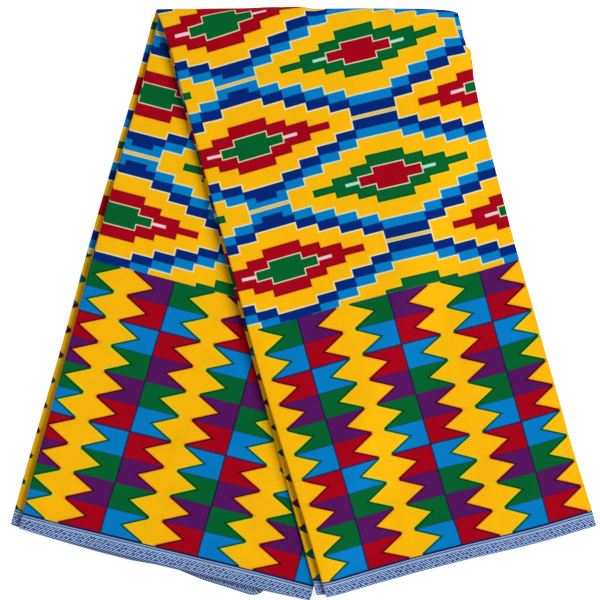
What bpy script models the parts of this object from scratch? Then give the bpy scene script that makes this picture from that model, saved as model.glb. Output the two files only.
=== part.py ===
"""A length of printed cotton, folded back and forth into a strip that is folded over once.

The cloth is one sheet. Six layers lie back and forth across the strip. The strip is as long as
the cloth is wide, and it is folded over at mid-length on a slanted line, so that its two halves
fan out: the left panel lies flat on the surface, and the right panel lies on it and beyond it.

Frame: metres, +Z up, +Y towards the top fold, origin at the bottom centre of the outline.
Strip terms: "across" runs from the folded edge at the left to the open edge at the right,
"along" runs from the left panel's selvedge (negative) over the top fold (zero) to the right
panel's selvedge (positive), and "level" counts the layers up from the lowest of the left panel.
"""
import math

import bmesh
import bpy

# Cloth and strip sizes
SHEET = 0.0010
PITCH = 0.0015
LAYERS = 6
TOP_LEVEL = LAYERS - 1
PANEL_GAP = 0.0012
PANEL_LEAN = math.radians(14.6)
HALF_SHEET = SHEET / 2

# The top fold turns every layer about one line, level with the middle of the gap between panels
PACK_HEIGHT = TOP_LEVEL * PITCH + SHEET
FOLD_RADIUS = PACK_HEIGHT + PANEL_GAP / 2
RIGHT_BASE = PACK_HEIGHT + PANEL_GAP

# Where each folded or cut edge lies across the strip, at six places along it
ALONG = (-0.576, -0.331, -0.060, 0.010, 0.291, 0.575)
EDGES = {
    # edge: left selvedge, left middle, left top, right top, right middle, right selvedge
    "cut_1": (0.1501, 0.1457, 0.1451, 0.1400, 0.1380, 0.1455),
    "fold_12": (-0.1513, -0.1485, -0.1453, -0.1465, -0.1437, -0.1410),
    "fold_23": (0.1475, 0.1435, 0.1420, 0.1410, 0.1385, 0.1460),
    "fold_34": (-0.1490, -0.1465, -0.1435, -0.1430, -0.1385, -0.1304),
    "fold_45": (0.1460, 0.1420, 0.1410, 0.1420, 0.1395, 0.1470),
    "fold_56": (-0.1603, -0.1555, -0.1500, -0.1445, -0.1405, -0.1324),
    "cut_6": (0.1023, 0.1260, 0.1370, 0.1425, 0.1405, 0.1485),
}
LAYER_EDGES = ("cut_1", "fold_12", "fold_23", "fold_34", "fold_45", "fold_56", "cut_6")

# How far each layer's selvedges lie from the top fold, at the folded and at the open edge
SELVEDGES = {
    # layer: left panel folded edge, left panel open edge, right panel
    1: (0.5770, 0.5750, 0.5720),
    2: (0.5755, 0.5740, 0.5725),
    3: (0.5750, 0.5740, 0.5725),
    4: (0.5750, 0.5735, 0.5730),
    5: (0.5740, 0.5740, 0.5735),
    6: (0.5730, 0.5830, 0.5742),
}
EDGE_SPAN = 0.150

# The right panel comes down to the surface past the left panel's open edge
RAMP_START = 0.155
RAMP_LENGTH = 0.050

# The layers stand further apart along the folded edges
LOFT_SHARE = 0.25
LOFT_EDGE = -0.145
LOFT_WIDTH = 0.045
LOFT_START = 0.140
LOFT_RISE = 0.120

# Mesh steps
INNER_FIRST = -0.126
INNER_LAST = 0.133
CUT_MARGIN = 0.007
INNER_STEPS = 12
HAIRPIN_STEPS = 4
LEFT_STEPS = 11
BEND_STEPS = 8
RIGHT_STEPS = 14

COTTON_COLOUR = (0.80, 0.42, 0.03, 1.0)
COTTON_ROUGHNESS = 0.85


def smooth(value):
    """Ease from 0 to 1 without a kink at either end."""
    value = min(max(value, 0.0), 1.0)
    return value * value * (3.0 - 2.0 * value)


def edge_at(name, along):
    """Place of an edge across the strip, eased between its six rows."""
    rows = EDGES[name]
    if along <= ALONG[0]:
        return rows[0]
    for index in range(len(ALONG) - 1):
        start, end = ALONG[index], ALONG[index + 1]
        if along <= end:
            share = smooth((along - start) / (end - start))
            return rows[index] + (rows[index + 1] - rows[index]) * share
    return rows[-1]


def selvedge_at(layer, across, panel):
    """Distance of the selvedge from the top fold; layer may lie between two whole layers."""
    lower = min(max(int(layer), 1), LAYERS - 1)
    share = layer - lower
    distances = []
    for row in (SELVEDGES[lower], SELVEDGES[lower + 1]):
        folded, opened, right = row
        slide = min(max((across + EDGE_SPAN) / (2 * EDGE_SPAN), 0.0), 1.0)
        distances.append(right if panel == "right" else folded + (opened - folded) * slide)
    return distances[0] + (distances[1] - distances[0]) * share


def loft_at(across, along):
    """Share by which the layers stand further apart than at the top fold."""
    nearness = math.exp(-((across - LOFT_EDGE) / LOFT_WIDTH) ** 2)
    return LOFT_SHARE * nearness * smooth((abs(along) - LOFT_START) / LOFT_RISE)


def below_fold(across, layer, station):
    """Distance below the outline's top edge, from the bend to the selvedge."""
    panel, share = station
    reach = selvedge_at(layer, across, panel) * math.cos(PANEL_LEAN)
    slant = across * math.sin(PANEL_LEAN)
    end = reach - slant if panel == "right" else reach + slant
    return FOLD_RADIUS + share * (end - FOLD_RADIUS)


def along_at(across, layer, station):
    """Place along the strip of a point on a station."""
    panel, share = station
    slant = across * math.tan(PANEL_LEAN)
    if panel == "bend":
        return slant
    down = below_fold(across, layer, station) / math.cos(PANEL_LEAN)
    return down + slant if panel == "right" else slant - down


def section_line(station):
    """Middle line of the back-and-forth section: (across, level, layer) from cut 1 to cut 6."""
    folded_along = along_at(-EDGE_SPAN, 1, station)
    open_along = along_at(EDGE_SPAN, 1, station)
    places = []
    for index, name in enumerate(LAYER_EDGES):
        at_folded_edge = index % 2 == 1
        places.append(edge_at(name, folded_along if at_folded_edge else open_along))
    radius = PITCH / 2
    points = [(places[0], TOP_LEVEL, 1.0)]
    for layer in range(1, LAYERS + 1):
        start, end = places[layer - 1], places[layer]
        last = min(INNER_LAST, max(start, end) - CUT_MARGIN)
        inner = [INNER_FIRST + (last - INNER_FIRST) * step / INNER_STEPS
                 for step in range(INNER_STEPS + 1)]
        if end < start:
            inner.reverse()
        level = LAYERS - layer
        points += [(across, level, float(layer)) for across in inner]
        if layer == LAYERS:
            points.append((end, level, float(layer)))
            break
        turn = 1.0 if end < start else -1.0
        centre = end + turn * (radius + HALF_SHEET)
        for step in range(HAIRPIN_STEPS + 1):
            angle = math.pi * step / HAIRPIN_STEPS
            drop = (1.0 - math.cos(angle)) / 2
            points.append((centre - turn * radius * math.sin(angle), level - drop, layer + drop))
    return points


def panel_drop(across, down):
    """Share by which the right panel has come down to the surface."""
    past_edge = across + 2 * down * math.sin(PANEL_LEAN)
    return smooth((past_edge - RAMP_START) / RAMP_LENGTH)


def place(across, height, layer, station):
    """World point of a section point; height is measured from the left panel's underside."""
    panel, share = station
    sideways = across / math.cos(PANEL_LEAN)
    if panel == "bend":
        angle = math.pi * share
        radius = FOLD_RADIUS - height
        sideways += math.tan(PANEL_LEAN) * FOLD_RADIUS * (2 * share - 1)
        return sideways, radius * math.sin(angle) - FOLD_RADIUS, FOLD_RADIUS - radius * math.cos(angle)
    down = below_fold(across, layer, station)
    if panel == "left":
        return sideways - down * math.tan(PANEL_LEAN), -down, height
    base = RIGHT_BASE * (1.0 - panel_drop(across, down))
    return sideways + down * math.tan(PANEL_LEAN), -down, base + PACK_HEIGHT - height


def station_points(station):
    """The two faces of the sheet on one station, as paired rows of world points."""
    line = section_line(station)
    heights = []
    for across, level, layer in line:
        spread = 1.0 + loft_at(across, along_at(across, layer, station))
        if station[0] == "right":
            heights.append(PACK_HEIGHT - HALF_SHEET - (TOP_LEVEL - level) * PITCH * spread)
        else:
            heights.append(HALF_SHEET + level * PITCH * spread)
    faces = ([], [])
    for index, (across, level, layer) in enumerate(line):
        before, after = max(index - 1, 0), min(index + 1, len(line) - 1)
        run = line[after][0] - line[before][0]
        rise = heights[after] - heights[before]
        if level == round(level):
            run, rise = math.copysign(1.0, run), 0.0
        length = math.hypot(run, rise)
        for face, side in zip(faces, (HALF_SHEET, -HALF_SHEET)):
            shift, lift = side * rise / length, -side * run / length
            face.append(place(across + shift, heights[index] + lift, layer, station))
    return faces


def add_strip(mesh, first, second, rightwards):
    """Join two rows of corners with triangles cut along the same diagonal in every layer."""
    for index in range(len(first) - 1):
        a, b = first[index], first[index + 1]
        c, d = second[index + 1], second[index]
        if rightwards[index]:
            triangles = ((a, b, d), (b, c, d))
        else:
            triangles = ((a, b, c), (a, c, d))
        for triangle in triangles:
            mesh.faces.new(triangle)


def build_cloth():
    """Sweep the section from the left selvedge over the top fold to the right selvedge."""
    stations = [("left", 1.0 - step / LEFT_STEPS) for step in range(LEFT_STEPS + 1)]
    stations += [("bend", step / BEND_STEPS) for step in range(1, BEND_STEPS)]
    stations += [("right", step / RIGHT_STEPS) for step in range(RIGHT_STEPS + 1)]
    mesh = bmesh.new()
    upper, lower = [], []
    for station in stations:
        faces = station_points(station)
        upper.append([mesh.verts.new(point) for point in faces[0]])
        lower.append([mesh.verts.new(point) for point in faces[1]])
    line = section_line(stations[0])
    rightwards = [line[index + 1][0] > line[index][0] for index in range(len(line) - 1)]
    for index in range(len(stations) - 1):
        add_strip(mesh, upper[index], upper[index + 1], rightwards)
        add_strip(mesh, lower[index], lower[index + 1], rightwards)
        for end in (0, -1):
            mesh.faces.new((upper[index][end], upper[index + 1][end],
                            lower[index + 1][end], lower[index][end]))
    add_strip(mesh, upper[0], lower[0], rightwards)
    add_strip(mesh, upper[-1], lower[-1], rightwards)
    bmesh.ops.recalc_face_normals(mesh, faces=mesh.faces)
    return mesh


def centre_on_outline(mesh):
    """Move the cloth so that the origin is at the bottom centre of its outline."""
    spans = [[vert.co[axis] for vert in mesh.verts] for axis in range(3)]
    middle = [(min(span) + max(span)) / 2 for span in spans[:2]]
    bmesh.ops.translate(mesh, vec=(-middle[0], -middle[1], -min(spans[2])), verts=mesh.verts)


def cotton_material():
    """Printed cotton in the print's main yellow."""
    material = bpy.data.materials.new("printed_cotton")
    material.use_nodes = True
    shader = material.node_tree.nodes["Principled BSDF"]
    shader.inputs["Base Color"].default_value = COTTON_COLOUR
    shader.inputs["Roughness"].default_value = COTTON_ROUGHNESS
    shader.inputs["Metallic"].default_value = 0.0
    return material


def main():
    for item in list(bpy.data.objects):
        bpy.data.objects.remove(item)
    mesh = build_cloth()
    centre_on_outline(mesh)
    data = bpy.data.meshes.new("folded_cloth")
    mesh.to_mesh(data)
    mesh.free()
    data.materials.append(cotton_material())
    cloth = bpy.data.objects.new("folded_cloth", data)
    bpy.context.scene.collection.objects.link(cloth)


main()
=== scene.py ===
"""Finished look of the folded length of printed cotton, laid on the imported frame."""

import math

import bmesh
import bpy
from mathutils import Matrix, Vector


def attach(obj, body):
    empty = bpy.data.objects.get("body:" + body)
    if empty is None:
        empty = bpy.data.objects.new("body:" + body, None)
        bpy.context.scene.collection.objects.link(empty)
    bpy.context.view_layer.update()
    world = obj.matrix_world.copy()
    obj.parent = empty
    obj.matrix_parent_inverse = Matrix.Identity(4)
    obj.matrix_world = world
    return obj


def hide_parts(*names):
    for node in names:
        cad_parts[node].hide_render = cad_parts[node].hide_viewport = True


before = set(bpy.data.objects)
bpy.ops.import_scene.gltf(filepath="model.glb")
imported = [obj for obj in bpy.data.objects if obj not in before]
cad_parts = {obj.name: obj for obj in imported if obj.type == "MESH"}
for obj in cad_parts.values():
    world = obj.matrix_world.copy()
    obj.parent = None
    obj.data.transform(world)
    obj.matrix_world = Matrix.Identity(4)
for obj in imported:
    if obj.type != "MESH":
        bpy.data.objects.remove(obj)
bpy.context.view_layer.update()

# Cloth sizes in print units; one unit is PX metres
PX = 0.0010034
CLOTH_LENGTH = 1760.0
CLOTH_WIDTH = 1164.0
MID_LINE = CLOTH_WIDTH / 2

# Strip sizes in metres: the layers lie at the solid's heights, and the sheet drawn on them is thinner
PITCH = 0.0015
LAYERS = 6
TOP_LEVEL = LAYERS - 1
SOLID_HALF = 0.0005
HALF_SHEET = 0.0003
PANEL_GAP = 0.0012
PANEL_LEAN = math.radians(14.6)
PACK_HEIGHT = TOP_LEVEL * PITCH + 2 * SOLID_HALF
FOLD_RADIUS = PACK_HEIGHT + PANEL_GAP / 2
RIGHT_BASE = PACK_HEIGHT + PANEL_GAP
SHIFT = (0.0056226, 0.2971342)

# Each folded or cut edge: rows of (along the strip, across the strip)
EDGES = {
    "cut_1": ((-0.576, 0.1501), (-0.331, 0.1457), (-0.060, 0.1451), (0.010, 0.1395), (0.160, 0.1375),
              (0.291, 0.1375), (0.465, 0.1410), (0.575, 0.1450)),
    "fold_12": ((-0.576, -0.1513), (-0.331, -0.1485), (-0.180, -0.1461), (-0.125, -0.1439),
                (-0.060, -0.1441), (0.010, -0.1465), (0.291, -0.1437), (0.575, -0.1410)),
    "fold_23": ((-0.576, 0.1475), (-0.331, 0.1435), (-0.060, 0.1420), (0.010, 0.1405), (0.160, 0.1382),
                (0.291, 0.1382), (0.465, 0.1415), (0.575, 0.1455)),
    "fold_34": ((-0.576, -0.1490), (-0.331, -0.1465), (-0.060, -0.1435), (0.010, -0.1430),
                (0.291, -0.1385), (0.575, -0.1304)),
    "fold_45": ((-0.576, 0.1460), (-0.331, 0.1420), (-0.060, 0.1410), (0.010, 0.1415), (0.160, 0.1390),
                (0.291, 0.1392), (0.465, 0.1425), (0.575, 0.1465)),
    "fold_56": ((-0.576, -0.1603), (-0.331, -0.1555), (-0.060, -0.1500), (0.010, -0.1445),
                (0.291, -0.1405), (0.575, -0.1324)),
    "cut_6": ((-0.576, 0.1018), (-0.331, 0.1260), (-0.060, 0.1370), (0.010, 0.1430), (0.052, 0.1437),
              (0.068, 0.1428), (0.0768, 0.1435), (0.0818, 0.1468), (0.0896, 0.1450), (0.1138, 0.1421),
              (0.1384, 0.1411), (0.163, 0.1406), (0.270, 0.1405), (0.365, 0.1425), (0.465, 0.1445),
              (0.575, 0.1485)),
}
EDGE_ORDER = ("cut_1", "fold_12", "fold_23", "fold_34", "fold_45", "fold_56", "cut_6")
EDGE_SIDE = 0.150

# Print position of each edge along the cloth: rows of (along the strip, print units)
EDGE_PRINT = {
    "cut_1": ((0.0, 0.0),),
    "fold_12": ((0.010, 292.0), (0.400, 257.0)),
    "fold_23": ((0.0, 582.0),),
    "fold_34": ((0.0, 880.0),),
    "fold_45": ((0.0, 1178.0),),
    "fold_56": ((-0.576, 1489.5), (-0.455, 1489.5), (-0.370, 1491.5), (-0.300, 1493.0), (-0.260, 1484.0),
                (-0.118, 1481.0), (0.010, 1476.0)),
    "cut_6": ((0.0, 1760.0),),
}

# Selvedge of each layer: rows of (across the strip, distance from the top fold)
LEFT_SELVEDGE = {
    1: ((-0.150, 0.5772), (-0.133, 0.5781), (-0.070, 0.5799), (-0.033, 0.5796), (-0.009, 0.5776),
        (0.040, 0.5765), (0.103, 0.5757), (0.150, 0.5738)),
    2: ((-0.150, 0.5750), (0.150, 0.5735)),
    3: ((-0.150, 0.5745), (0.150, 0.5735)),
    4: ((-0.150, 0.5740), (0.150, 0.5730)),
    5: ((-0.1606, 0.5752), (-0.1524, 0.5776), (-0.143, 0.5788), (-0.120, 0.5765), (-0.070, 0.5740),
        (0.150, 0.5730)),
    6: ((-0.1606, 0.5750), (-0.1524, 0.5774), (-0.143, 0.5786), (-0.120, 0.5763), (-0.070, 0.5740),
        (0.000, 0.5745), (0.016, 0.5776), (0.042, 0.5811), (0.067, 0.5822), (0.090, 0.5836),
        (0.097, 0.5822), (0.1012, 0.5775)),
}
RIGHT_SELVEDGE = {
    1: ((-0.1415, 0.5690), (-0.136, 0.5722), (0.150, 0.5718)),
    2: ((-0.1415, 0.5692), (-0.136, 0.5724), (0.150, 0.5720)),
    3: ((-0.150, 0.5722), (0.150, 0.5722)),
    4: ((-0.150, 0.5724), (0.150, 0.5724)),
    5: ((-0.150, 0.5730), (0.150, 0.5730)),
    6: ((-0.134, 0.5747), (-0.120, 0.5754), (-0.080, 0.5745), (-0.035, 0.5737), (0.020, 0.5741),
        (0.064, 0.5756), (0.100, 0.5756), (0.140, 0.5741)),
}

# Rise of the top edge over a straight line: rows of (across the strip, rise).
# It fades out over the reach, down each panel.
TOP_EDGE = ((-0.150, 0.0011), (-0.142, 0.0017), (-0.125, 0.0018), (-0.070, 0.0022),
            (-0.030, 0.0036), (-0.008, 0.0039), (0.004, 0.0018), (0.050, 0.0022),
            (0.110, 0.0018), (0.133, 0.0005), (0.1435, -0.0020))
TOP_EDGE_REACH = 0.022

# One printed column followed down each panel: rows of (along, across, print units per PX)
RIGHT_COLUMN = ((0.010, -0.0945, 0.994), (0.095, -0.0945, 0.994), (0.140, -0.0943, 1.006),
                (0.200, -0.0925, 1.006), (0.250, -0.0913, 1.002), (0.309, -0.0898, 1.005),
                (0.545, -0.0838, 1.0145), (0.575, -0.0830, 1.016))
LEFT_COLUMN = ((-0.576, -0.1390, 0.943), (-0.5475, -0.1379, 0.945), (-0.4873, -0.1348, 0.9545),
               (-0.3869, -0.1311, 0.964), (-0.3066, -0.1277, 0.971), (-0.2454, -0.1270, 1.0),
               (-0.120, -0.1216, 1.0), (0.040, -0.1203, 1.0))
RIGHT_COLUMN_PRINT = 1527.0
LEFT_COLUMN_PRINT = 267.0

# How far the print is drawn towards the top fold, in print units: rows of (along, at the left,
# at the right), and rows of (along, drift) for the layers under the left panel's first
RIGHT_DRIFT = ((0.000, -1.5, 1.5), (0.030, 0.5, 2.6), (0.065, 1.8, 4.0), (0.105, -0.8, 2.0),
               (0.150, 0.2, 1.8), (0.200, 0.3, 1.4), (0.300, 0.2, 1.0), (0.350, -0.5, 0.9),
               (0.450, -0.4, 0.8), (0.500, -0.6, 0.3), (0.575, -1.5, -1.0))
LEFT_DRIFT = ((-0.575, 0.0, 3.2), (-0.500, 0.2, 2.8), (-0.430, 1.2, 2.6), (-0.350, 1.0, 1.4),
              (-0.290, 0.8, 0.2), (-0.222, -1.8, -1.8), (-0.173, -1.8, -1.8), (-0.134, -3.3, -3.3),
              (-0.095, -7.0, -7.0), (-0.057, -8.0, -8.0))
UNDER_DRIFT = ((-0.575, 0.0), (-0.500, 2.2), (-0.300, 4.0), (-0.222, 3.2), (-0.134, 1.7),
               (-0.095, -2.0), (0.000, -3.0))
DRIFT_LEFT = -0.11
DRIFT_RIGHT = 0.09

# The left panel's print is a little short. Its rows are counted down the panel in steps of PX:
# the strip's middle crosses the top fold at one row, and the selvedge band starts at the other
LEFT_GAUGE = 0.99
LEFT_FOLD_LINE = 14.4
LEFT_BAND_LINE = 574.0

# The print is pulled over the right panel's outer edge near the top: places in metres, then print units
PULL_START = 0.116
PULL_WIDTH = 0.027
PULL_END = 0.055
PULL_FADE = 0.045
PULL_ALONG = 5.0
PULL_ACROSS = 4.5

# Low down the right panel the print is pushed sideways: rows of (across the strip, print units)
LOW_PUSH = ((-0.135, 0.0), (-0.105, -2.0), (-0.066, 0.8), (-0.028, 2.6), (0.012, 3.0), (0.050, 2.5),
            (0.100, 0.0))
LOW_PUSH_START = 0.512
LOW_PUSH_RISE = 0.040

# The right panel comes down past the left panel's open edge
RAMP_START = 0.153
RAMP_LENGTH = 0.060

# Layers stand further apart along the folded edges, close up towards the selvedges and ripple a little
LOFT_SHARE = 0.25
LOFT_EDGE = -0.145
LOFT_WIDTH = 0.045
LOFT_START = 0.140
LOFT_RISE = 0.120
PINCH_SHARE = 0.35
PINCH_REACH = 0.034
WIDE_RIPPLE = 0.10
FINE_RIPPLE = 0.06
RIPPLE_START = 0.02
RIPPLE_RISE = 0.06

# Mesh steps
FINE_COLUMNS = 56
PLAIN_COLUMNS = 24
INNER_FIRST = -0.128
INNER_LAST = 0.136
CUT_MARGIN = 0.004
HAIRPIN_STEPS = 8
HAIRPIN_REACH = 0.0016
LEFT_STEPS = 62
BEND_STEPS = 14
RIGHT_TOP_STEPS = 26
RIGHT_TOP_SHARE = 0.20
RIGHT_LOW_STEPS = 46
CRISP_ANGLE = math.radians(50)


def smooth(value):
    """0 below 0, 1 above 1 and an eased curve between."""
    value = min(max(value, 0.0), 1.0)
    return value * value * (3.0 - 2.0 * value)


def along_rows(rows, place, column=1, ease=True):
    """Value of a table of rows at a place, eased or straight from row to row."""
    if place <= rows[0][0]:
        return rows[0][column]
    for first, second in zip(rows, rows[1:]):
        if place <= second[0]:
            share = (place - first[0]) / (second[0] - first[0])
            if ease:
                share = smooth(share)
            return first[column] + (second[column] - first[column]) * share
    return rows[-1][column]


def selvedge_at(layer, across, panel):
    """Distance of a layer's selvedge from the top fold, along the strip."""
    table = RIGHT_SELVEDGE if panel == "right" else LEFT_SELVEDGE
    lower = min(max(int(layer), 1), LAYERS - 1)
    share = layer - lower
    first = along_rows(table[lower], across, ease=False)
    second = along_rows(table[lower + 1], across, ease=False)
    return first + (second - first) * share


def below_fold(across, layer, station):
    """Distance of a section point on a panel below the top fold, seen from above."""
    panel, share = station
    reach = selvedge_at(layer, across, panel) * math.cos(PANEL_LEAN)
    slant = across * math.sin(PANEL_LEAN)
    end = reach - slant if panel == "right" else reach + slant
    return FOLD_RADIUS + share * (end - FOLD_RADIUS)


def along_at(across, down, panel):
    """Position along the strip, negative on the left panel, of a point below the top fold."""
    slant = across * math.tan(PANEL_LEAN)
    reach = down / math.cos(PANEL_LEAN)
    return reach + slant if panel == "right" else slant - reach


def nominal_along(across, station):
    """Position along the strip at which a station reads the tables of edges."""
    if station[0] == "bend":
        return across * math.tan(PANEL_LEAN)
    return along_at(across, below_fold(across, 1, station), station[0])


def section_line(station):
    """Middle line of the section as (across, level, layer) from cut 1 to cut 6, and its edges."""
    places = []
    for index, name in enumerate(EDGE_ORDER):
        side = -EDGE_SIDE if index % 2 else EDGE_SIDE
        places.append(along_rows(EDGES[name], nominal_along(side, station)))
    points = [(places[0], float(TOP_LEVEL), 1.0)]
    for layer in range(1, LAYERS + 1):
        start, end = places[layer - 1], places[layer]
        steps = FINE_COLUMNS if layer in (1, LAYERS) else PLAIN_COLUMNS
        last = min(INNER_LAST, max(start, end) - CUT_MARGIN)
        inner = [INNER_FIRST + (last - INNER_FIRST) * step / steps for step in range(steps + 1)]
        if end < start:
            inner.reverse()
        level = float(LAYERS - layer)
        points += [(across, level, float(layer)) for across in inner]
        if layer == LAYERS:
            points.append((end, level, float(layer)))
            break
        turn = 1.0 if end < start else -1.0
        centre = end + turn * (HAIRPIN_REACH + HALF_SHEET)
        for step in range(HAIRPIN_STEPS + 1):
            angle = math.pi * step / HAIRPIN_STEPS
            drop = (1.0 - math.cos(angle)) / 2
            points.append((centre - turn * HAIRPIN_REACH * math.sin(angle), level - drop, layer + drop))
    return points, places


def ripple(across, along):
    """Gentle unevenness of the layers, as a share of their spacing; the waves turn in radians a metre."""
    wide = math.sin(31.0 * across + 9.0 * along + 0.7) * math.sin(17.0 * along - 6.0 * across)
    fine = math.sin(64.0 * along + 23.0 * across + 2.1) * math.cos(41.0 * across - 12.0 * along)
    return WIDE_RIPPLE * wide + FINE_RIPPLE * fine


def spacing_at(across, along, layer, panel):
    """Spacing of the layers at a place, as a share of the pitch."""
    nearness = math.exp(-((across - LOFT_EDGE) / LOFT_WIDTH) ** 2)
    loft = LOFT_SHARE * nearness * smooth((abs(along) - LOFT_START) / LOFT_RISE)
    to_selvedge = selvedge_at(layer, across, panel) - abs(along)
    pinch = PINCH_SHARE * smooth(1.0 - to_selvedge / PINCH_REACH)
    swell = ripple(across, along) * smooth((abs(along) - RIPPLE_START) / RIPPLE_RISE)
    return 1.0 + loft - pinch + swell


def panel_drop(across, down):
    """How far the right panel has come down to the surface, from 0 to 1."""
    past_edge = across + 2 * down * math.sin(PANEL_LEAN)
    return smooth((past_edge - RAMP_START) / RAMP_LENGTH)


def place(across, height, layer, station):
    """World point of a section point, and how far it lies below the top edge seen from above."""
    panel, share = station
    sideways = across / math.cos(PANEL_LEAN)
    rise = along_rows(TOP_EDGE, across)
    if panel == "bend":
        angle = math.pi * share
        radius = FOLD_RADIUS - height
        sideways += math.tan(PANEL_LEAN) * FOLD_RADIUS * (2 * share - 1)
        down = FOLD_RADIUS - radius * math.sin(angle)
        return (sideways, rise - down, FOLD_RADIUS - radius * math.cos(angle)), down
    down = below_fold(across, layer, station)
    rise *= 1.0 - smooth((down - FOLD_RADIUS) / TOP_EDGE_REACH)
    if panel == "left":
        return (sideways - down * math.tan(PANEL_LEAN), rise - down, height), down
    base = RIGHT_BASE * (1.0 - panel_drop(across, down))
    return (sideways + down * math.tan(PANEL_LEAN), rise - down, base + PACK_HEIGHT - height), down


def pulled_over(across, along):
    """How far a point of the right panel is drawn over its outer edge, from 0 to 1."""
    return smooth((across - PULL_START) / PULL_WIDTH) * (1.0 - smooth((along - PULL_END) / PULL_FADE))


def print_along(across, along, layer, places, panel):
    """Position along the cloth of a point of the section, in print units."""
    whole = min(max(int(layer - 0.5) + 1, 1), LAYERS)
    start, end = places[whole - 1], places[whole]
    first = along_rows(EDGE_PRINT[EDGE_ORDER[whole - 1]], along)
    last = along_rows(EDGE_PRINT[EDGE_ORDER[whole]], along)
    share = (across - start) / (end - start)
    value = first + (last - first) * share
    if panel == "left" and layer <= 2.5:
        gauge = along_rows(LEFT_COLUMN, along, 2)
        column = along_rows(LEFT_COLUMN, along, 1)
        if layer <= 1.5:
            value = LEFT_COLUMN_PRINT - (across - column) / PX * gauge
        else:
            turn = LEFT_COLUMN_PRINT - (start - column) / PX * gauge
            value = turn + (last - turn) * share
    if panel == "right" and layer >= 4.5:
        gauge = along_rows(RIGHT_COLUMN, along, 2)
        column = along_rows(RIGHT_COLUMN, along, 1)
        if layer >= 5.5:
            value = RIGHT_COLUMN_PRINT + (across - column) / PX * gauge
            value += PULL_ALONG * pulled_over(across, along)
            value -= along_rows(LOW_PUSH, across) * smooth((along - LOW_PUSH_START) / LOW_PUSH_RISE)
        else:
            turn = RIGHT_COLUMN_PRINT + (end - column) / PX * gauge
            value = first + (turn - first) * share
    return value


def print_across(across, along, layer, panel):
    """Position from the right panel's selvedge towards the left one's, in print units."""
    rightness = min(max((across - DRIFT_LEFT) / (DRIFT_RIGHT - DRIFT_LEFT), 0.0), 1.0)
    table = RIGHT_DRIFT if panel == "right" else LEFT_DRIFT
    drift = along_rows(table, along) * (1.0 - rightness) + along_rows(table, along, 2) * rightness
    if panel == "right":
        reach = (selvedge_at(layer, across, "right") - along) / PX
        return reach - drift + PULL_ACROSS * pulled_over(across, along)
    reach = LEFT_GAUGE * (selvedge_at(layer, across, "left") + along) / PX
    own = reach - along_rows(UNDER_DRIFT, along)
    charted = BAND + (LEFT_BAND_LINE - (LEFT_FOLD_LINE - along / PX)) * LEFT_GAUGE - drift
    share = min(max(layer - 1.0, 0.0), 1.0)
    return CLOTH_WIDTH - (charted + (own - charted) * share)


def print_at(across, along, layer, places, panel):
    """Place of a point on the flat print, each way from 0 to 1."""
    return (print_along(across, along, layer, places, panel) / CLOTH_LENGTH,
            print_across(across, along, layer, panel) / CLOTH_WIDTH)


def stations():
    """Cross sections of the strip, from the left panel's selvedge over the bend to the right one's."""
    rows = [("left", 1.0 - step / LEFT_STEPS) for step in range(LEFT_STEPS + 1)]
    rows += [("bend", step / BEND_STEPS) for step in range(1, BEND_STEPS)]
    rows += [("right", RIGHT_TOP_SHARE * step / RIGHT_TOP_STEPS) for step in range(RIGHT_TOP_STEPS)]
    rows += [("right", RIGHT_TOP_SHARE + (1.0 - RIGHT_TOP_SHARE) * step / RIGHT_LOW_STEPS)
             for step in range(RIGHT_LOW_STEPS + 1)]
    return rows


def station_rows(station):
    """The two faces of the sheet on one station, and the print position of each point."""
    panel, share = station
    line, places = section_line(station)
    heights = []
    for across, level, layer in line:
        if panel == "bend":
            spacing = 1.0
        else:
            down = below_fold(across, layer, station)
            spacing = spacing_at(across, along_at(across, down, panel), layer, panel)
        if panel == "right":
            heights.append(PACK_HEIGHT - SOLID_HALF - (TOP_LEVEL - level) * PITCH * spacing)
        else:
            heights.append(SOLID_HALF + level * PITCH * spacing)
    upper, lower, prints = [], [], []
    for index, (across, level, layer) in enumerate(line):
        before, after = max(index - 1, 0), min(index + 1, len(line) - 1)
        run = line[after][0] - line[before][0]
        rise = heights[after] - heights[before]
        if level == round(level):
            run, rise = math.copysign(1.0, run), 0.0
        length = math.hypot(run, rise)
        for face, side in ((upper, HALF_SHEET), (lower, -HALF_SHEET)):
            shift, lift = side * rise / length, -side * run / length
            point, down = place(across + shift, heights[index] + lift, layer, station)
            face.append((point[0] + SHIFT[0], point[1] + SHIFT[1], point[2]))
        if panel == "bend":
            along = along_at(across, FOLD_RADIUS, "left")
            first = print_at(across, along, layer, places, "left")
            along = along_at(across, FOLD_RADIUS, "right")
            last = print_at(across, along, layer, places, "right")
            prints.append([start + (end - start) * share for start, end in zip(first, last)])
        else:
            prints.append(print_at(across, along_at(across, down, panel), layer, places, panel))
    return upper, lower, prints


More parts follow.
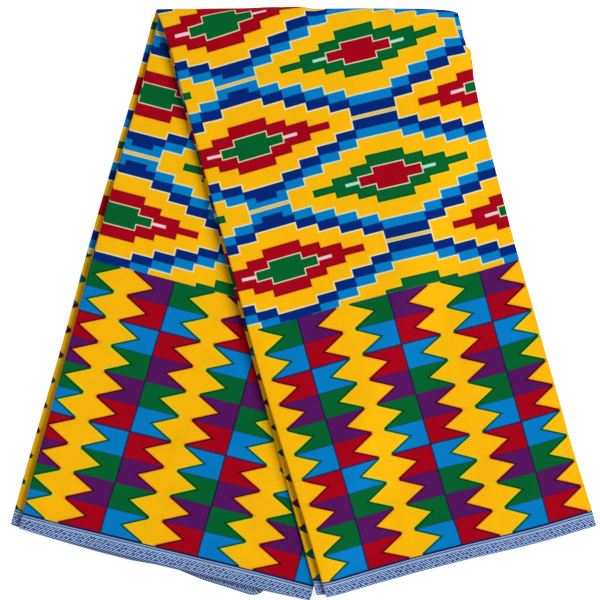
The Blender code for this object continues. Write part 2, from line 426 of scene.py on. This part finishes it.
def build_cloth():
    """The whole cloth as one closed thin sheet, with its place on the flat print as a UV map."""
    rows = [station_rows(station) for station in stations()]
    count = len(rows[0][0])
    verts, prints = [], []
    for upper, lower, places in rows:
        verts += upper + lower
        prints += places + places
    line, _ = section_line(("left", 1.0))
    rightwards = [line[i + 1][0] > line[i][0] for i in range(count - 1)]
    faces = []

    def strip(first, second):
        for i in range(count - 1):
            a, b, c, d = first + i, first + i + 1, second + i + 1, second + i
            faces.extend(((a, b, d), (b, c, d)) if rightwards[i] else ((a, b, c), (a, c, d)))

    for r in range(len(rows) - 1):
        top, next_top = 2 * count * r, 2 * count * (r + 1)
        strip(top, next_top)
        strip(next_top + count, top + count)
        for end in (0, count - 1):
            ring = (top + end, top + count + end, next_top + count + end, next_top + end)
            faces.append(ring if end == 0 else ring[::-1])
    last = 2 * count * (len(rows) - 1)
    strip(count, 0)
    strip(last, last + count)
    mesh = bpy.data.meshes.new("printed_cloth")
    mesh.from_pydata(verts, [], faces)
    layer = mesh.uv_layers.new(name="cloth_print")
    for loop in mesh.loops:
        layer.data[loop.index].uv = prints[loop.vertex_index]
    mesh.validate()
    cloth = bpy.data.objects.new("printed_cloth", mesh)
    bpy.context.scene.collection.objects.link(cloth)
    return cloth


def turn_faces_out(cloth):
    """Point every face outwards and keep the cut edges crisp."""
    work = bmesh.new()
    work.from_mesh(cloth.data)
    bmesh.ops.recalc_face_normals(work, faces=work.faces)
    work.to_mesh(cloth.data)
    work.free()
    cloth.data.shade_smooth()
    cloth.data.set_sharp_from_angle(angle=CRISP_ANGLE)


# Stepped shapes of the diamonds: (half width, half height) of each step, in print units
RED_CORE = ((17.0, 11.5), (32.0, 5.0))
RED_BODY = ((19.5, 24.5), (38.0, 17.0), (59.0, 10.3), (80.0, 3.6))
RED_FIELD = ((20.5, 41.5), (41.0, 34.0), (61.5, 26.0), (83.0, 18.0), (102.5, 10.5))
NAVY_FIELD = ((11.0, 56.0), (21.5, 50.5), (42.0, 43.8), (63.0, 36.3), (85.0, 27.8), (104.5, 19.8),
              (130.0, 12.5))
GREEN_CORE = ((16.5, 11.8), (32.5, 5.3))
GREEN_BODY = ((19.5, 24.3), (37.5, 16.5), (58.5, 10.0), (80.0, 3.7))
GREEN_FIELD = ((23.0, 41.5), (43.0, 34.0), (63.5, 26.0), (85.0, 18.0), (104.5, 10.5))
DIAMOND_PITCH = 252.0
DIAMOND_ROW = 127.0
DIAMOND_OFFSET = 4.3

# Printed edges of the diamonds, in print units
SOFT_EDGE = 0.7
FIELD_LINE = 0.6
HEART_LINE = 0.45
BODY_RIM = 1.2
BODY_FADE = 1.4
WARM_STRENGTH = 0.75
NAVY_FADE = 1.2
WHISKER_MIDDLE = 39.2
WHISKER_LENGTH = 7.3
WHISKER_HEIGHT = 1.5
RED_TIP_START = 102.0
GREEN_TIP_START = 104.0
TIP_HEIGHT = 2.0
TIP_RIM = 0.85

# Zigzag columns: cells along the seams, in print units
SEAM_PITCH = 94.5
ZIGZAG_TOP = 277.0
ZIGZAG_ROW = 26.0
COLUMN_INKS = 4
POINT_HEIGHT = 11.6
POINT_SLOPE = 1.9
POINT_REACH = 18.8
ACROSS_SLOPE = 0.47
BRIGHT_RIM = 1.3
BRIGHT_FADE = 1.2
BRIGHT_STRENGTH = 0.8
DARK_RIM = 1.7
DARK_FADE = 1.6
SEAM_HALF = 0.9
SEAM_STRENGTH = 0.85
ROW_RIM = 1.0
ROW_STRENGTH = 0.3
PAIR_STRENGTH = 0.55
TOP_LINE_AT = 0.6
TOP_LINE_HALF = 0.8
TOP_LINE_RIM = 0.5
TOP_LINE_STRENGTH = 0.35

# Selvedge band: hatch, small dots on a slanted lattice, an edge line and thin lines
BAND = 17.0
HATCH_TURN = 2.2
HATCH_SLANT = 2.2
HATCH_CONTRAST = 1.6
HATCH_LEVEL = 0.45
DOT_PITCH = 4.6
DOT_ROW = 3.4
DOT_SHEAR = 0.6
DOT_SCATTER = 0.35
DOT_RADIUS = 0.26
DOT_FADE = 0.14
DOT_STRENGTH = 0.9
DOTS_MIDDLE = 6.5
DOTS_HALF = 4.6
BAND_EDGE = 1.4
BAND_EDGE_STRENGTH = 0.55


def rgb(red, green, blue):
    """Linear colour of an ink given as it looks in print, from 0 to 255."""
    def linear(value):
        value /= 255.0
        return value / 12.92 if value <= 0.04045 else ((value + 0.055) / 1.055) ** 2.4
    return (linear(red), linear(green), linear(blue), 1.0)


# Inks
YELLOW = rgb(252, 186, 6)
RED = rgb(166, 0, 24)
DARK_RED = rgb(120, 0, 8)
GREEN = rgb(0, 98, 46)
DARK_GREEN = rgb(0, 66, 4)
NAVY = rgb(0, 38, 120)
BLUE = rgb(0, 124, 198)
PURPLE = rgb(86, 18, 96)
MAROON = rgb(72, 0, 14)
CREAM = rgb(234, 230, 184)
PALE_GOLD = rgb(224, 221, 152)
PINK = rgb(246, 206, 212)
MINT = rgb(176, 226, 204)
PALE_MINT = rgb(204, 232, 190)
ORANGE = rgb(252, 158, 30)
LIME = rgb(206, 208, 40)
SEAM = rgb(24, 12, 62)
GOLD = rgb(222, 187, 96)
BAND_BLUE = rgb(44, 76, 140)
BAND_NAVY = rgb(12, 24, 80)
BAND_WHITE = rgb(172, 200, 240)

# Thin lines of the selvedge band: ink, distance from the selvedge, half width, strength
BAND_LINES = ((BAND_WHITE, 12.7, 0.6, 0.75), (BAND_NAVY, 13.9, 0.6, 0.8), (BAND_WHITE, 15.1, 0.45, 0.6),
              (BAND_NAVY, 16.9, 1.3, 1.0))

# Uneven ink, yarns and surface of the cotton
CLOUD_SCALE = 0.035
CLOUD_DETAIL = 4.0
CLOUD_TONE = 0.16
GRAIN_SCALE = 0.9
GRAIN_DETAIL = 2.0
GRAIN_TONE = 0.10
WARP_TURN = 11.0
WEFT_TURN = 12.5
WEAVE_TONE = 0.02
ROUGH_BASE = 0.66
ROUGH_GRAIN = 0.16
SHINE = 0.04
RELIEF_STRENGTH = 0.35
RELIEF_DEPTH = 0.00025
WEAVE_RELIEF = 0.5
GRAIN_RELIEF = 0.8

# Floor, lamps and camera, in metres and watts
WHITE = (1.0, 1.0, 1.0, 1.0)
FLOOR_HALF = 4.0
FLOOR_LEVEL = -0.0004
FLOOR_COLOUR = (0.93, 0.93, 0.93, 1.0)
FLOOR_ROUGHNESS = 0.9
FLOOR_SHINE = 0.1
FLOOR_GLOW = 0.65
SKY_LIGHT = 0.17
LAMPS = (
    # name, place, size, power
    ("key", (2.30, 0.45, 2.70), 2.00, 128.0),
    ("fill", (-0.85, -0.35, 1.00), 0.60, 3.0),
)
SENSOR_WIDTH = 36.0
LENS = 300.0
VIEW_UNITS = 600
FOLD_MIDDLE = (309.4, 10.0)
FOCUS_LEVEL = 0.012


class Print:
    """Builds the shader nodes of the print."""

    def __init__(self, tree):
        self.tree = tree

    def node(self, kind, **settings):
        """A new node with its settings."""
        item = self.tree.nodes.new(kind)
        for name, value in settings.items():
            setattr(item, name, value)
        return item

    def feed(self, socket, value):
        """Link another node's output to an input, or set the input to a constant."""
        if isinstance(value, bpy.types.NodeSocket):
            self.tree.links.new(value, socket)
        else:
            socket.default_value = value

    def math(self, operation, first, second=0.0, third=0.0, clamp=False):
        """Output of one sum on outputs or constants."""
        item = self.node("ShaderNodeMath", operation=operation, use_clamp=clamp)
        for socket, value in zip(item.inputs, (first, second, third)):
            self.feed(socket, value)
        return item.outputs[0]

    def over(self, under, colour, mask):
        """Lay a colour over another where the mask is 1."""
        item = self.node("ShaderNodeMix", data_type="RGBA")
        self.feed(item.inputs[0], mask)
        self.feed(item.inputs[6], under)
        self.feed(item.inputs[7], colour)
        return item.outputs[2]

    def inside(self, field, edge=0.0, softness=SOFT_EDGE):
        """1 where the field is above an edge value, with a soft printed edge."""
        shifted = self.math("SUBTRACT", field, edge)
        return self.math("MULTIPLY_ADD", shifted, 1.0 / softness, 0.5, clamp=True)

    def line(self, field, centre, half_width):
        """1 on a line that follows the field at a value."""
        off = self.math("ABSOLUTE", self.math("SUBTRACT", field, centre))
        return self.inside(self.math("SUBTRACT", half_width, off))

    def both(self, first, second):
        """Where both masks are 1, or one mask at a strength."""
        return self.math("MULTIPLY", first, second)

    def box(self, x, y, half_width, half_height):
        """Depth inside a box about the origin, negative outside."""
        return self.math("MINIMUM", self.math("SUBTRACT", half_width, x),
                         self.math("SUBTRACT", half_height, y))

    def noise(self, vector, scale, detail):
        """Soft noise over the flat cloth, about 0.5."""
        item = self.node("ShaderNodeTexNoise", noise_dimensions="2D")
        item.inputs["Scale"].default_value = scale
        item.inputs["Detail"].default_value = detail
        self.feed(item.inputs["Vector"], vector)
        return item.outputs[0]

    def stepped(self, x, y, steps):
        """Depth inside a stepped diamond, negative outside."""
        depth = self.box(x, y, *steps[0])
        for half_width, half_height in steps[1:]:
            depth = self.math("MAXIMUM", depth, self.box(x, y, half_width, half_height))
        return depth


def diamond(ink, ground, x, y, shapes, colours):
    """One stepped diamond: field, body, core and whiskers, each with its printed edge."""
    field_steps, body_steps, core_steps = shapes
    yellow_edge, warm_edge, body, dark_body, core, whisker = colours
    field = ink.stepped(x, y, field_steps)
    colour = ink.over(ground, YELLOW, ink.inside(field))
    colour = ink.over(colour, yellow_edge, ink.line(field, 0.0, FIELD_LINE))
    mass = ink.stepped(x, y, body_steps)
    colour = ink.over(colour, warm_edge, ink.both(ink.inside(mass, -BODY_RIM), WARM_STRENGTH))
    colour = ink.over(colour, dark_body, ink.inside(mass))
    colour = ink.over(colour, body, ink.inside(mass, BODY_RIM, BODY_FADE))
    heart = ink.stepped(x, y, core_steps)
    colour = ink.over(colour, core, ink.inside(heart))
    colour = ink.over(colour, CREAM, ink.line(heart, 0.0, HEART_LINE))
    off_middle = ink.math("ABSOLUTE", ink.math("SUBTRACT", x, WHISKER_MIDDLE))
    bar = ink.box(off_middle, y, WHISKER_LENGTH, WHISKER_HEIGHT)
    return ink.over(colour, whisker, ink.inside(bar))


def tip_line(ink, ground, x, y, start):
    """Gold line with pale edges that runs from one diamond's tip to the next."""
    depth = ink.math("MINIMUM", ink.math("SUBTRACT", x, start), ink.math("SUBTRACT", TIP_HEIGHT, y))
    colour = ink.over(ground, PALE_GOLD, ink.inside(depth))
    return ink.over(colour, GOLD, ink.inside(depth, TIP_RIM))


def diamond_zone(ink, u, y_mid):
    """Middle of the cloth: rows of stepped diamonds on two blues."""
    from_column = ink.math("SUBTRACT", u, RIGHT_COLUMN_PRINT + DIAMOND_OFFSET)
    x_red = ink.math("PINGPONG", from_column, DIAMOND_PITCH / 2)
    y_red = ink.math("PINGPONG", y_mid, DIAMOND_ROW / 2)
    x_green = ink.math("SUBTRACT", DIAMOND_PITCH / 2, x_red)
    y_green = ink.math("SUBTRACT", DIAMOND_ROW / 2, y_red)
    navy = ink.stepped(x_red, y_red, NAVY_FIELD)
    ground = ink.over(BLUE, NAVY, ink.inside(navy, 0.0, NAVY_FADE))
    ground = tip_line(ink, ground, x_red, y_red, RED_TIP_START)
    ground = tip_line(ink, ground, x_green, y_green, GREEN_TIP_START)
    ground = diamond(ink, ground, x_green, y_green, (GREEN_FIELD, GREEN_BODY, GREEN_CORE),
                     (PALE_MINT, LIME, GREEN, DARK_GREEN, RED, MINT))
    return diamond(ink, ground, x_red, y_red, (RED_FIELD, RED_BODY, RED_CORE),
                   (CREAM, ORANGE, RED, DARK_RED, GREEN, PINK))


def zigzag_zone(ink, u, y):
    """Columns of coloured cells along each seam, with the yellow zigzag between them."""
    from_seam = ink.math("SUBTRACT", u, RIGHT_COLUMN_PRINT)
    x = ink.math("PINGPONG", from_seam, SEAM_PITCH / 2)
    side = ink.math("LESS_THAN", ink.math("FRACT", ink.math("DIVIDE", from_seam, SEAM_PITCH)), 0.5)
    depth = ink.math("DIVIDE", ink.math("SUBTRACT", ZIGZAG_TOP, y), ZIGZAG_ROW)
    row = ink.math("FLOOR", depth)
    off_row = ink.math("ABSOLUTE", ink.math("MULTIPLY_ADD", ink.math("FRACT", depth), ZIGZAG_ROW,
                                            -ZIGZAG_ROW / 2))
    # Cells are purple, red, blue, green down one side of a seam, and the other way round on the other
    order = ink.math("MODULO", row, COLUMN_INKS)
    other = ink.math("SUBTRACT", COLUMN_INKS - 1, order)
    index = ink.math("ADD", ink.both(order, side), ink.both(other, ink.math("SUBTRACT", 1.0, side)))
    ramp = ink.node("ShaderNodeValToRGB")
    ramp.color_ramp.interpolation = "CONSTANT"
    ramp.color_ramp.elements[0].color = PURPLE
    ramp.color_ramp.elements[1].position = 1 / COLUMN_INKS
    ramp.color_ramp.elements[1].color = RED
    ramp.color_ramp.elements.new(2 / COLUMN_INKS).color = BLUE
    ramp.color_ramp.elements.new(3 / COLUMN_INKS).color = GREEN
    ink.feed(ramp.inputs[0], ink.math("MULTIPLY_ADD", index, 1 / COLUMN_INKS, 0.5 / COLUMN_INKS))
    cells = ramp.outputs[0]
    cool = ink.math("GREATER_THAN", index, 1.5)
    reach = ink.math("MULTIPLY_ADD", ink.math("MINIMUM", off_row, POINT_HEIGHT), POINT_SLOPE, POINT_REACH)
    gap = ink.math("MULTIPLY", ink.math("SUBTRACT", reach, x), ACROSS_SLOPE)
    edge = ink.over(ORANGE, LIME, cool)
    dark = ink.over(MAROON, DARK_GREEN, cool)
    row_edge = ink.math("SUBTRACT", ZIGZAG_ROW / 2, off_row)
    rim = ink.inside(gap, -BRIGHT_RIM, BRIGHT_FADE)
    colour = ink.over(YELLOW, edge, ink.both(rim, BRIGHT_STRENGTH))
    colour = ink.over(colour, dark, ink.inside(gap))
    colour = ink.over(colour, cells, ink.inside(gap, DARK_RIM, DARK_FADE))
    # Every fourth line between two rows is dark
    pair = ink.math("LESS_THAN", ink.math("PINGPONG", ink.math("ADD", depth, 2.0), 2.0), 0.5)
    strength = ink.math("MULTIPLY_ADD", pair, PAIR_STRENGTH, ROW_STRENGTH)
    row_line = ink.both(ink.inside(ink.math("SUBTRACT", SEAM_HALF, row_edge)), strength)
    colour = ink.over(colour, SEAM, ink.both(row_line, ink.inside(gap, ROW_RIM)))
    seam_line = ink.inside(ink.math("SUBTRACT", SEAM_HALF, x))
    colour = ink.over(colour, SEAM, ink.both(seam_line, SEAM_STRENGTH))
    from_top = ink.math("SUBTRACT", ZIGZAG_TOP, y)
    top_line = ink.both(ink.line(from_top, TOP_LINE_AT, TOP_LINE_HALF), ink.inside(gap, TOP_LINE_RIM))
    return ink.over(colour, NAVY, ink.both(top_line, TOP_LINE_STRENGTH))


def selvedge_band(ink, u, y):
    """Woven selvedge: fine slanted hatch with small dots, and four thin lines beside it."""
    wave = ink.math("SINE", ink.math("ADD", ink.math("MULTIPLY", u, HATCH_TURN),
                                     ink.math("MULTIPLY", y, HATCH_SLANT)))
    hatch = ink.math("MULTIPLY_ADD", wave, HATCH_CONTRAST, HATCH_LEVEL, clamp=True)
    colour = ink.over(BAND_BLUE, BAND_WHITE, hatch)
    dots = ink.node("ShaderNodeTexVoronoi", voronoi_dimensions="2D", feature="F1")
    dots.inputs["Scale"].default_value = 1.0
    dots.inputs["Randomness"].default_value = DOT_SCATTER
    lattice = ink.node("ShaderNodeCombineXYZ")
    ink.feed(lattice.inputs[0], ink.math("DIVIDE", ink.math("MULTIPLY_ADD", y, DOT_SHEAR, u), DOT_PITCH))
    ink.feed(lattice.inputs[1], ink.math("DIVIDE", y, DOT_ROW))
    ink.feed(dots.inputs["Vector"], lattice.outputs[0])
    marks = ink.inside(ink.math("SUBTRACT", DOT_RADIUS, dots.outputs["Distance"]), 0.0, DOT_FADE)
    middle = ink.line(y, DOTS_MIDDLE, DOTS_HALF)
    colour = ink.over(colour, BAND_NAVY, ink.both(ink.both(marks, middle), DOT_STRENGTH))
    edge_line = ink.inside(ink.math("SUBTRACT", BAND_EDGE, y))
    colour = ink.over(colour, BAND_NAVY, ink.both(edge_line, BAND_EDGE_STRENGTH))
    for thread, centre, half_width, strength in BAND_LINES:
        colour = ink.over(colour, thread, ink.both(ink.line(y, centre, half_width), strength))
    return colour


def printed_cotton():
    """Material of the cloth: the print by its place on the flat cloth, and the woven surface."""
    material = bpy.data.materials.new("printed_cotton")
    material.use_nodes = True
    tree = material.node_tree
    shader = tree.nodes["Principled BSDF"]
    ink = Print(tree)
    place_map = ink.node("ShaderNodeUVMap", uv_map="cloth_print")
    parts = ink.node("ShaderNodeSeparateXYZ")
    ink.feed(parts.inputs[0], place_map.outputs[0])
    u = ink.math("MULTIPLY", parts.outputs[0], CLOTH_LENGTH)
    v = ink.math("MULTIPLY", parts.outputs[1], CLOTH_WIDTH)
    y_mid = ink.math("ABSOLUTE", ink.math("SUBTRACT", v, MID_LINE))
    y = ink.math("SUBTRACT", MID_LINE, y_mid)
    colour = zigzag_zone(ink, u, y)
    colour = ink.over(colour, diamond_zone(ink, u, y_mid), ink.inside(y, ZIGZAG_TOP))
    colour = ink.over(selvedge_band(ink, u, y), colour, ink.inside(y, BAND))

    # The ink is a little uneven and the yarns show faintly
    scaled = ink.node("ShaderNodeCombineXYZ")
    ink.feed(scaled.inputs[0], u)
    ink.feed(scaled.inputs[1], v)
    cloud = ink.noise(scaled.outputs[0], CLOUD_SCALE, CLOUD_DETAIL)
    grain = ink.noise(scaled.outputs[0], GRAIN_SCALE, GRAIN_DETAIL)
    warp = ink.math("SINE", ink.math("MULTIPLY", u, WARP_TURN))
    weft = ink.math("SINE", ink.math("MULTIPLY", v, WEFT_TURN))
    weave = ink.math("MULTIPLY", warp, weft)
    tone = ink.math("MULTIPLY_ADD", ink.math("SUBTRACT", cloud, 0.5), CLOUD_TONE, 1.0)
    tone = ink.math("ADD", tone, ink.math("MULTIPLY", ink.math("SUBTRACT", grain, 0.5), GRAIN_TONE))
    tone = ink.math("ADD", tone, ink.math("MULTIPLY", weave, WEAVE_TONE))
    shade = ink.node("ShaderNodeVectorMath", operation="SCALE")
    ink.feed(shade.inputs[0], colour)
    ink.feed(shade.inputs["Scale"], tone)
    ink.feed(shader.inputs["Base Color"], shade.outputs[0])
    ink.feed(shader.inputs["Roughness"], ink.math("MULTIPLY_ADD", grain, ROUGH_GRAIN, ROUGH_BASE))
    shader.inputs["Specular IOR Level"].default_value = SHINE
    bump = ink.node("ShaderNodeBump")
    bump.inputs["Strength"].default_value = RELIEF_STRENGTH
    bump.inputs["Distance"].default_value = RELIEF_DEPTH
    relief = ink.math("MULTIPLY_ADD", weave, WEAVE_RELIEF, ink.math("MULTIPLY", grain, GRAIN_RELIEF))
    ink.feed(bump.inputs["Height"], relief)
    ink.feed(shader.inputs["Normal"], bump.outputs[0])
    return material


def studio():
    """Pale floor, two soft lamps and the camera straight above the cloth."""
    scene = bpy.context.scene
    scene.view_settings.view_transform = "Standard"
    floor_mesh = bpy.data.meshes.new("floor")
    corners = ((-FLOOR_HALF, -FLOOR_HALF), (FLOOR_HALF, -FLOOR_HALF), (FLOOR_HALF, FLOOR_HALF),
               (-FLOOR_HALF, FLOOR_HALF))
    floor_mesh.from_pydata([(x, y, FLOOR_LEVEL) for x, y in corners], [], [(0, 1, 2, 3)])
    floor = bpy.data.objects.new("floor", floor_mesh)
    scene.collection.objects.link(floor)
    paint = bpy.data.materials.new("pale_floor")
    paint.use_nodes = True
    shader = paint.node_tree.nodes["Principled BSDF"]
    shader.inputs["Base Color"].default_value = FLOOR_COLOUR
    shader.inputs["Roughness"].default_value = FLOOR_ROUGHNESS
    shader.inputs["Specular IOR Level"].default_value = FLOOR_SHINE
    shader.inputs["Emission Color"].default_value = WHITE
    shader.inputs["Emission Strength"].default_value = FLOOR_GLOW
    floor_mesh.materials.append(paint)

    world = bpy.data.worlds.new("studio")
    world.use_nodes = True
    background = world.node_tree.nodes["Background"]
    background.inputs["Color"].default_value = WHITE
    background.inputs["Strength"].default_value = SKY_LIGHT
    scene.world = world
    for name, spot, size, energy in LAMPS:
        light = bpy.data.lights.new(name, "AREA")
        light.size = size
        light.energy = energy
        lamp = bpy.data.objects.new(name, light)
        lamp.location = spot
        lamp.rotation_euler = (-Vector(spot)).to_track_quat("-Z", "Y").to_euler()
        scene.collection.objects.link(lamp)

    lens = bpy.data.cameras.new("camera")
    lens.sensor_width = SENSOR_WIDTH
    lens.lens = LENS
    camera = bpy.data.objects.new("camera", lens)
    centre_x = SHIFT[0] + (VIEW_UNITS / 2 - FOLD_MIDDLE[0]) * PX
    centre_y = SHIFT[1] - (VIEW_UNITS / 2 - FOLD_MIDDLE[1]) * PX
    camera.location = (centre_x, centre_y, VIEW_UNITS * PX * LENS / SENSOR_WIDTH + FOCUS_LEVEL)
    scene.collection.objects.link(camera)
    scene.camera = camera


cloth = build_cloth()
turn_faces_out(cloth)
cloth.data.materials.append(printed_cotton())
studio()

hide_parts("folded_cloth")
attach(cloth, "root")
